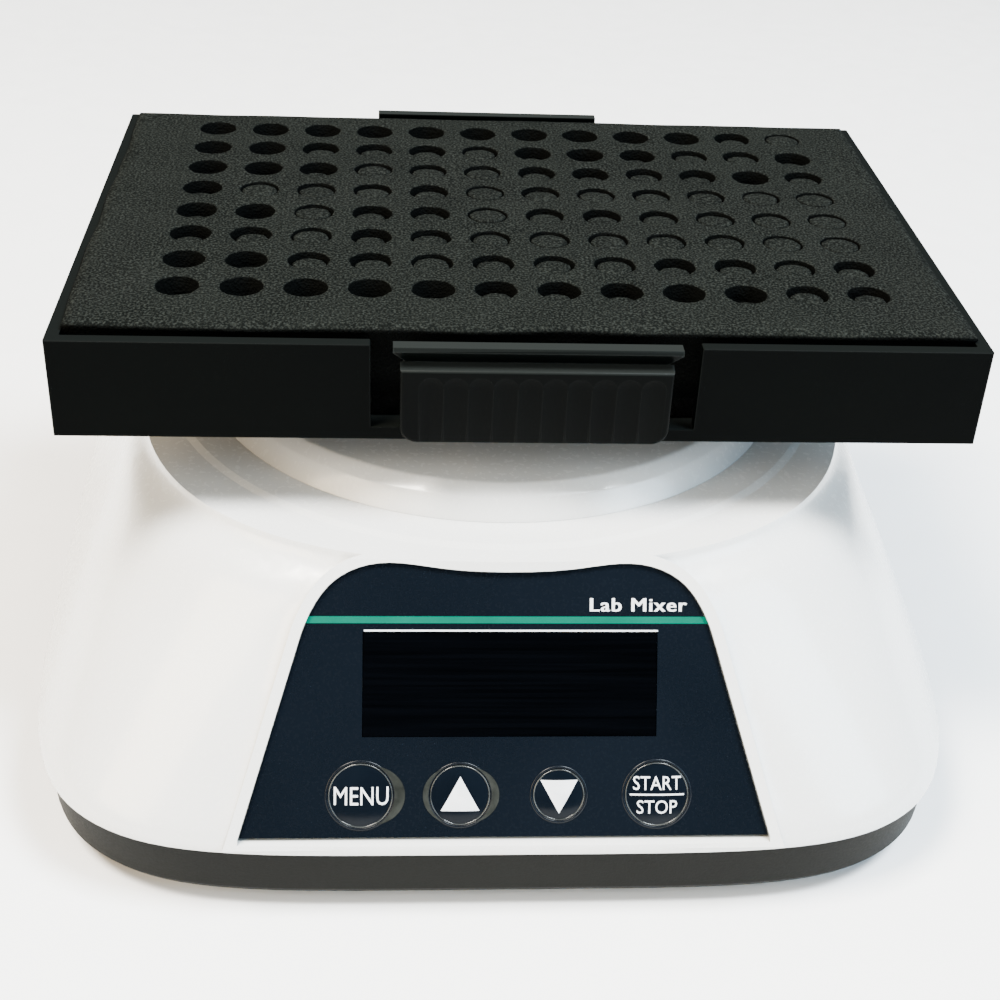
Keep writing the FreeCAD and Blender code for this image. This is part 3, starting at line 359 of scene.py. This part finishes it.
# the plugs, front row first: O out, then m, c, t and s ever less pushed down, and f flush
PLUGS = (
    "OOOOOmmmOmcc",
    "Omccttttcctc",
    "mcsctsssssff",
    "mmsccftctssf",
    "msstcftstsff",
    "mmmstscmccmc",
    "OOcccsmmmttm",
    "OOOOOOOOOOcf",
)
GRID_SIZE = Vector((len(PLUGS[0]), len(PLUGS)))
PLUG_VARY = 0.2                # share by which a plug differs from its kind
SIDE_STEPS = 8                 # points along one side of a grid cell
OUT_SINK = 9.0                 # a plug deeper than this is out, and only the floor of its pocket shows
GAP_DEPTH = 3.0                # how far down the gap behind a plug can be seen
FLOOR_DEPTH = 1.0              # how far the pocket of a missing plug goes on below that floor
POCKET_WAVE = 0.16
PLUG_WAVE = 0.22
PLUG_LEAN = 0.10
OUT_LEAN = 0.4                 # share of the lean that the floor of an open pocket keeps
FACE_WAVE, FACE_RATE, FACE_LAYER = 0.12, 0.06, 3.0          # height, turns per millimetre, seed
BULGE, BULGE_WAVE, BULGE_RATE, BULGE_LAYER = 0.55, 0.5, 0.09, 8.0
FRONT_GAP = 1.2                # the insert stands back from the tray's front wall
CROWN = 0.9                    # the face ends this far inside the side, where the edge rounds
MERGE_MM = 0.01
FOAM_SEED = 11
# the mouth of a pocket: distance outside its radius, and depth
POCKET_MOUTH = ((0.30, 0.0), (0.09, 0.05), (0.0, 0.2))
# the top of a plug: share of its radius, and depth below its level
PLUG_TOP = ((1.0, 0.25), (0.96, 0.06), (0.72, -0.03), (0.36, -0.05))


def round_noise(angle, waves, seed):
    """Noise that closes on itself after a full turn."""
    return noise.noise(Vector((waves * cos(angle), waves * sin(angle), seed)))


def flat_noise(x, y, rate, layer):
    return noise.noise(Vector((x * rate, y * rate, layer)))


class FoamShape:
    """The insert as one skin: cells of the die-cut grid, plain margins, and sides."""

    def __init__(self, shape):
        self.shape = shape
        self.random = random.Random(FOAM_SEED)
        low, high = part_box("foam_insert")
        self.low, self.high = low / MM, high / MM
        self.middle = (self.low + self.high) / 2
        self.half = (self.high - self.low) / 2

    def vert(self, x, y, z):
        return self.shape.verts.new(Vector((x + self.middle.x, y + self.middle.y, z)) * MM)

    def face_z(self, x, y):
        """The foam's face is a little uneven."""
        return self.high.z - FACE_WAVE + FACE_WAVE * flat_noise(x, y, FACE_RATE, FACE_LAYER)

    def strip(self, one, two):
        for i in range(len(one) - 1):
            self.shape.faces.new((one[i], one[i + 1], two[i + 1], two[i]))

    def loop(self, one, two):
        self.strip(one + one[:1], two + two[:1])

    def tube(self, rings):
        for one, two in zip(rings, rings[1:]):
            self.loop(one, two)

    def sheet(self, xs, ys):
        rows = [[self.vert(x, y, self.face_z(x, y)) for x in xs] for y in ys]
        for one, two in zip(rows, rows[1:]):
            self.strip(one, two)

    def cell(self, cx, cy, sink, gap):
        """A square of the face with a round pocket and the top of its plug."""
        half, side = GRID_PITCH / 2, GRID_PITCH / SIDE_STEPS
        collar = 0.5                     # how far outside the pocket the ring halfway to it aims
        there = [-half + k * side for k in range(SIDE_STEPS)]
        back = [-t for t in there]
        edge = ([(t, -half) for t in there] + [(half, t) for t in there]
                + [(t, half) for t in back] + [(-half, t) for t in back])
        seed = self.random.uniform(0, 100)
        turn = [atan2(y, x) for x, y in edge]
        radii = [POCKET_R + POCKET_WAVE * round_noise(a, 2, seed) + POCKET_WAVE * round_noise(a, 6, seed)
                 for a in turn]
        face = self.face_z(cx, cy)
        floor = sink + (FLOOR_DEPTH if sink > OUT_SINK else GAP_DEPTH)
        rings = [[self.vert(cx + x, cy + y, self.face_z(cx + x, cy + y)) for x, y in edge]]
        rings.append([self.vert(cx + (x + (r + collar) * cos(a)) / 2, cy + (y + (r + collar) * sin(a)) / 2,
                                self.face_z(cx + x / 2, cy + y / 2))
                      for (x, y), a, r in zip(edge, turn, radii)])
        for out, drop in POCKET_MOUTH + ((0.02, 0.5 * floor), (0.0, floor)):
            rings.append([self.vert(cx + (r + out) * cos(a), cy + (r + out) * sin(a), face - drop)
                          for a, r in zip(turn, radii)])
        self.tube(rings)
        self.shape.faces.new(rings[-1])
        self.plug(cx, cy, face, seed, turn, sink, gap, floor)

    def plug(self, cx, cy, face, seed, turn, sink, gap, floor):
        """The die-cut plug: a little smaller than its pocket, pushed down and against the front."""
        clear, over_floor, crown = 0.06, 0.05, 0.05
        radius = POCKET_R - clear - gap / 2
        px, py = cx + gap * self.random.uniform(-0.22, 0.22), cy - gap / 2
        lean = self.random.uniform(0.0, PLUG_LEAN) * (OUT_LEAN if sink > OUT_SINK else 1)
        radii = [radius + PLUG_WAVE * round_noise(a, 3, seed + 9) for a in turn]
        rings = []
        for share, drop in ((1.0, floor - over_floor), *((part, sink + below) for part, below in PLUG_TOP)):
            tip = lean if share < 1 else 0.0
            rings.append([self.vert(px + r * share * cos(a), py + r * share * sin(a),
                                    face - drop - tip * r * share * sin(a)) for a, r in zip(turn, radii)])
        self.tube(rings)
        self.shape.faces.new(rings[0])
        centre = self.vert(px, py, face - sink + crown)
        last = rings[-1]
        for i in range(len(last)):
            self.shape.faces.new((last[i], last[(i + 1) % len(last)], centre))

    def build(self):
        grid_low = GRID_SHIFT - GRID_SIZE / 2 * GRID_PITCH
        grid_high = GRID_SHIFT + GRID_SIZE / 2 * GRID_PITCH
        for row, kinds in enumerate(PLUGS):
            for column, kind in enumerate(kinds):
                vary = 1 + self.random.uniform(-PLUG_VARY, PLUG_VARY) * (kind != "O")
                sink, gap = PLUG_STATE[kind]
                self.cell(grid_low.x + (column + 0.5) * GRID_PITCH, grid_low.y + (row + 0.5) * GRID_PITCH,
                          sink * vary, gap * vary)
        side = GRID_PITCH / SIDE_STEPS
        inner_x = [grid_low.x + side * i for i in range(len(PLUGS[0]) * SIDE_STEPS + 1)]
        inner_y = [grid_low.y + side * i for i in range(len(PLUGS) * SIDE_STEPS + 1)]

        def margin(start, end):
            steps = max(2, round(abs(end - start) / side))
            return [start + (end - start) * i / steps for i in range(steps + 1)]

        left = margin(-self.half.x + CROWN, grid_low.x)
        right = margin(grid_high.x, self.half.x - CROWN)
        front = margin(-self.half.y + CROWN + FRONT_GAP, grid_low.y)
        back = margin(grid_high.y, self.half.y - CROWN)
        all_x = left[:-1] + inner_x + right[1:]
        self.sheet(all_x, front)
        self.sheet(all_x, back)
        self.sheet(left, inner_y)
        self.sheet(right, inner_y)
        self.sides(all_x, front[:-1] + inner_y + back[1:])
        bmesh.ops.remove_doubles(self.shape, verts=self.shape.verts, dist=MERGE_MM * MM)

    def sides(self, xs, ys):
        """The rounded edge, which bulges over the tray's wall, and the walls below it."""
        around = [(x, ys[0], 0, -1) for x in xs] + [(xs[-1], y, 1, 0) for y in ys[1:]]
        around += [(x, ys[-1], 0, 1) for x in reversed(xs[:-1])]
        around += [(xs[0], y, -1, 0) for y in reversed(ys[1:-1])]
        corners = {(xs[0], ys[0]): (-1, -1), (xs[-1], ys[0]): (1, -1),
                   (xs[-1], ys[-1]): (1, 1), (xs[0], ys[-1]): (-1, 1)}
        wall, top = TRAY_WALL_TOP, self.high.z
        # distance inside the side, height, share of the bulge
        levels = ((0.55, top - 0.22, 0.0), (0.0, top - 0.42, 0.6), (0.0, top - 0.8, 1.0),
                  (0.0, wall + 0.16, 0.75), (0.0, wall - 0.35, 0.0), (0.0, wall - 6.0, 0.0),
                  (0.0, self.low.z + 0.1, 0.0))
        loops = [[self.vert(x, y, self.face_z(x, y)) for x, y, _, _ in around]]
        for inset, z, swell in levels:
            ring = []
            for x, y, nx, ny in around:
                nx, ny = corners.get((x, y), (nx, ny))
                bulge = BULGE + BULGE_WAVE * flat_noise(x, y, BULGE_RATE, BULGE_LAYER)
                out = CROWN - inset + swell * bulge
                ring.append(self.vert(x + nx * out, y + ny * out, z))
            loops.append(ring)
        self.tube(loops)
        self.shape.faces.new(loops[-1])


foam = piece("foam_pad", mesh_of("foam_pad", lambda shape: FoamShape(shape).build()), "foam", "foam")
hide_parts("foam_insert")


# ---------------------------------------------------------------- control panel graphics
PANEL_TILT = radians(59.4)
PANEL_ORIGIN = Vector((0, -56.7, 46.7)) * MM
PANEL = Matrix.Translation(PANEL_ORIGIN) @ Matrix.Rotation(PANEL_TILT, 4, "X")
# places on the panel: x to the right of its middle line, v up the slope, 0 near its upper edge
INK = 0.05                       # thickness of a printed legend
INK_LIFT = 0.01                  # height of its underside above the film
SLICE = 0.6                      # spacing of the cuts that let a legend follow a dome
CUT_TOLERANCE = 1e-5
LETTER_STEPS = 3                 # points on a curved stroke of a letter
ROW_X = 0.4                      # middle of the row of keys
KEY_ROW = -31.9
KEY_PITCH = 14.1
DOME_RISE = 0.55
KEYS = {"key_menu": 4.6, "key_up": 4.3, "key_down": 3.7, "key_start_stop": 4.6}     # radii
KEY_X = {name: ROW_X + (i - (len(KEYS) - 1) / 2) * KEY_PITCH for i, name in enumerate(KEYS)}


def on_panel(mesh):
    """Carry a mesh from the panel's own millimetres to its place on the slope."""
    mesh.transform(Matrix.Scale(MM, 4))
    mesh.transform(PANEL)
    return mesh


def outline_mesh(name, outlines, lift):
    """Flat shapes as thin slabs of ink; lift(x, v) gives the height of the surface under them."""
    def build(shape):
        for outline in outlines:
            low = [shape.verts.new((x, v, 0)) for x, v in outline]
            shape.faces.new(low)
        shape.normal_update()            # or a hollow outline would be filled straight across
        bmesh.ops.triangulate(shape, faces=shape.faces)
        thicken(shape, lift)
    return on_panel(mesh_of(name, build, smooth=False))


def everything(shape):
    return list(shape.verts) + list(shape.edges) + list(shape.faces)


def thicken(shape, lift):
    """Slice a flat shape finely, push its top up by the ink and lay it on the surface."""
    for axis in (0, 1):
        spots = [v.co[axis] for v in shape.verts]
        cut = min(spots) + SLICE
        while cut < max(spots):
            level, way = Vector((0, 0, 0)), Vector((0, 0, 0))
            level[axis], way[axis] = cut, 1.0
            bmesh.ops.bisect_plane(shape, geom=everything(shape), plane_co=level, plane_no=way,
                                   dist=CUT_TOLERANCE)
            cut += SLICE
    grown = bmesh.ops.extrude_face_region(shape, geom=list(shape.faces))
    top = {g for g in grown["geom"] if isinstance(g, bmesh.types.BMVert)}
    for v in shape.verts:
        v.co.z += lift(v.co.x, v.co.y) + (INK if v in top else 0.0)


def text_mesh(name, words, size, x, v, width, lift, strike=0.0, spacing=1.0):
    """Lettering fitted to a width, centred on x, with its baseline at v; a second strike makes it bold."""
    curve = bpy.data.curves.new(name, "FONT")
    curve.body = words
    curve.size = size
    curve.space_character = spacing
    curve.resolution_u = LETTER_STEPS
    holder = bpy.data.objects.new(name, curve)
    bpy.context.scene.collection.objects.link(holder)
    bpy.context.view_layer.update()
    mesh = bpy.data.meshes.new_from_object(holder)
    bpy.data.objects.remove(holder)
    bpy.data.curves.remove(curve)
    xs = [vert.co.x for vert in mesh.vertices]
    shrink = width / (max(xs) - min(xs))
    middle = (max(xs) + min(xs)) / 2
    for vert in mesh.vertices:
        vert.co.x = (vert.co.x - middle) * shrink + x
        vert.co.y += v
    shape = bmesh.new()
    shape.from_mesh(mesh)
    if strike:
        twin = bmesh.ops.duplicate(shape, geom=everything(shape))
        for vert in twin["geom"]:
            if isinstance(vert, bmesh.types.BMVert):
                vert.co += Vector((strike, 0, INK / 5))      # a hair higher, so no two faces coincide
    thicken(shape, lift)
    bmesh.ops.recalc_face_normals(shape, faces=shape.faces)
    shape.to_mesh(mesh)
    shape.free()
    return on_panel(mesh)


def flat(_x, _v):
    return INK_LIFT


def on_dome(key):
    radius, middle = KEYS[key], KEY_X[key]
    ball = (radius ** 2 + DOME_RISE ** 2) / (2 * DOME_RISE)

    def lift(x, v):
        away = min((x - middle) ** 2 + (v - KEY_ROW) ** 2, radius ** 2)
        return (ball ** 2 - away) ** 0.5 - ball + DOME_RISE + INK_LIFT
    return lift


def rectangle(x0, x1, v0, v1):
    return [(x0, v0), (x1, v0), (x1, v1), (x0, v1)]


def line(name, edges, body, finish="legend_white"):
    lift = on_dome(body) if body in KEYS else flat
    piece(name, outline_mesh(name, [rectangle(*edges)], lift), finish, body)


def lettering(name, words, body, size, x, v, width, **style):
    lift = on_dome(body) if body in KEYS else flat
    piece(name, text_mesh(name, words, size, x, v, width, lift, **style), "legend_white", body)


line("teal_line", (-28.6, 28.6, -7.4, -6.4), "housing", "legend_teal")
line("window_line", (-20.4, 21.4, -8.55, -8.32), "housing")
lettering("title", "Lab Mixer", "housing", 2.75, 18.5, -5.65, 13.8, strike=0.14, spacing=1.1)
lettering("legend_menu", "MENU", "key_menu", 3.75, KEY_X["key_menu"] + 0.1, KEY_ROW - 1.25, 7.7)
for key, way, reach in (("key_up", 1, 2.75), ("key_down", -1, 2.65)):
    x, foot = KEY_X[key], KEY_ROW - way * reach * 0.8
    arrow = [(x - reach, foot), (x + reach, foot), (x, KEY_ROW + way * reach)]
    piece("legend_" + key[4:], outline_mesh("arrow", [arrow], on_dome(key)), "legend_white", key)
start_x = KEY_X["key_start_stop"]
lettering("legend_start", "START", "key_start_stop", 2.8, start_x, KEY_ROW + 0.7, 6.9)
lettering("legend_stop", "STOP", "key_start_stop", 2.8, start_x, KEY_ROW - 2.75, 5.8)
line("legend_rule", (start_x - 3.9, start_x + 3.9, KEY_ROW - 0.11, KEY_ROW + 0.11), "key_start_stop")


# ---------------------------------------------------------------- moulded edges of the keys, and painted glints beside them
RIM_AROUND, RIM_SIDES = 64, 8
BEAD_R, BEAD_OUT, BEAD_Z = 0.1, -0.12, 0.06       # a round bead just inside the key's edge
FILM_LIP = [(0.03, 0.0), (0.46, 0.0), (0.46, 0.04), (0.03, 0.04)]
# the halos are painted glints: pale crescents of flat ink beside the domes, standing in for their
# reflections
HALO_SPAN = radians(62)
HALO_STEPS = 24
HALO_GAP = 0.2
HALO_TAPER = 1.3
# key, side, and how far the crescent reaches out
HALOS = (("key_menu", 1, 1.5), ("key_up", -1, 0.8), ("key_up", 1, 1.1))


def ring_mesh(name, keys, section):
    """Closed rings round the keys; section lists (distance outside the key's edge, height)."""
    def build(shape):
        for key in keys:
            rings = []
            for i in range(RIM_AROUND):
                a = 2 * pi * i / RIM_AROUND
                rings.append([shape.verts.new((KEY_X[key] + (KEYS[key] + out) * cos(a),
                                               KEY_ROW + (KEYS[key] + out) * sin(a), z))
                              for out, z in section])
            for one, two in zip(rings, rings[1:] + rings[:1]):
                for k in range(len(section)):
                    after = (k + 1) % len(section)
                    shape.faces.new((one[k], two[k], two[after], one[after]))
    return on_panel(mesh_of(name, build))


def painted_glint_outline(key, side, reach):
    """A painted glint: a pale crescent laid flat on the film beside its key."""
    radius = KEYS[key] + HALO_GAP
    angles = [-HALO_SPAN + 2 * HALO_SPAN * i / HALO_STEPS for i in range(HALO_STEPS + 1)]
    outline = [(KEY_X[key] + side * radius * cos(a), KEY_ROW + radius * sin(a)) for a in angles]
    for a in reversed(angles[1:-1]):
        out = radius + reach * cos(a * pi / 2 / HALO_SPAN) ** HALO_TAPER
        outline.append((KEY_X[key] + side * out * cos(a), KEY_ROW + out * sin(a)))
    return outline


turns = [2 * pi * k / RIM_SIDES for k in range(RIM_SIDES)]
bead = [(BEAD_OUT + BEAD_R * cos(a), BEAD_Z + BEAD_R * sin(a)) for a in turns]
for key in KEYS:
    piece("rim_" + key[4:], ring_mesh("rim", [key], bead), "key_rim", key)
piece("film_lips", ring_mesh("film_lips", KEYS, FILM_LIP), "overlay_film", "housing")
# painted reflections: pale flat crescents beside the keys
piece("painted_key_glints", outline_mesh("painted_key_glints", [painted_glint_outline(*halo) for halo in HALOS], flat),
      "painted_key_glint", "housing")


# ---------------------------------------------------------------- softened edges of CAD nodes
WELD_MM = 0.002
BEVEL_STEPS = 2
BEVEL_FROM = radians(32)                  # edges sharper than this are rounded
SOFTENED = {"tray": 0.25, "top_housing": 0.5, "front_clip": 0.2, "back_clip": 0.2}     # widths


def soften(node, width_mm):
    """Round the sharp edges of a CAD node with modifiers, which leave its own mesh alone."""
    target = frame["nodes"][node]
    weld = target.modifiers.new("weld", "WELD")
    weld.merge_threshold = WELD_MM * MM
    bevel = target.modifiers.new("bevel", "BEVEL")
    bevel.width = width_mm * MM
    bevel.segments = BEVEL_STEPS
    bevel.limit_method = "ANGLE"
    bevel.angle_limit = BEVEL_FROM


for softened, width in SOFTENED.items():
    soften(softened, width)


# ---------------------------------------------------------------- floor and lights
FLOOR_HALF = 3.0
AIM = Vector((0, 0, 0.04))
# place, side of the square, watts, colour
LIGHTS = {
    "key_left": ((-0.40, -0.20, 1.00), 0.36, 40.0, (1.0, 0.93, 0.82)),
    "key_right": ((0.46, -0.20, 1.00), 0.36, 40.0, (0.84, 0.93, 1.0)),
    "fill_left": ((-0.90, -0.60, 0.55), 0.6, 17.0, (1.0, 0.80, 0.54)),
    "fill_right": ((0.90, -0.60, 0.55), 0.6, 15.0, (0.60, 0.82, 1.0)),
}
SKY_COLOUR = (0.93, 0.96, 1.0, 1.0)
SKY_STRENGTH = 0.12


def make_floor():
    finish = shaded("floor", grey(0.93), grey(0.95), (0.5, 0.7), 8.0, 0.02, 300.0)
    mesh = mesh_of("floor", lambda shape: bmesh.ops.create_grid(shape, x_segments=2, y_segments=2,
                                                                size=FLOOR_HALF))
    floor = bpy.data.objects.new("floor", mesh)
    mesh.materials.append(finish.material)
    bpy.context.scene.collection.objects.link(floor)


def make_light(name, at, size, watts, colour):
    data = bpy.data.lights.new(name, "AREA")
    data.shape = "SQUARE"
    data.size = size
    data.energy = watts
    data.color = colour
    lamp = bpy.data.objects.new(name, data)
    lamp.location = at
    lamp.rotation_mode = "QUATERNION"
    lamp.rotation_quaternion = (AIM - Vector(at)).to_track_quat("-Z", "Y")
    bpy.context.scene.collection.objects.link(lamp)


def make_world():
    world = bpy.data.worlds.new("studio")
    world.use_nodes = True
    background = world.node_tree.nodes["Background"]
    background.inputs["Color"].default_value = SKY_COLOUR
    background.inputs["Strength"].default_value = SKY_STRENGTH
    bpy.context.scene.world = world


make_floor()
make_world()
for lamp_name, settings in LIGHTS.items():
    make_light(lamp_name, *settings)
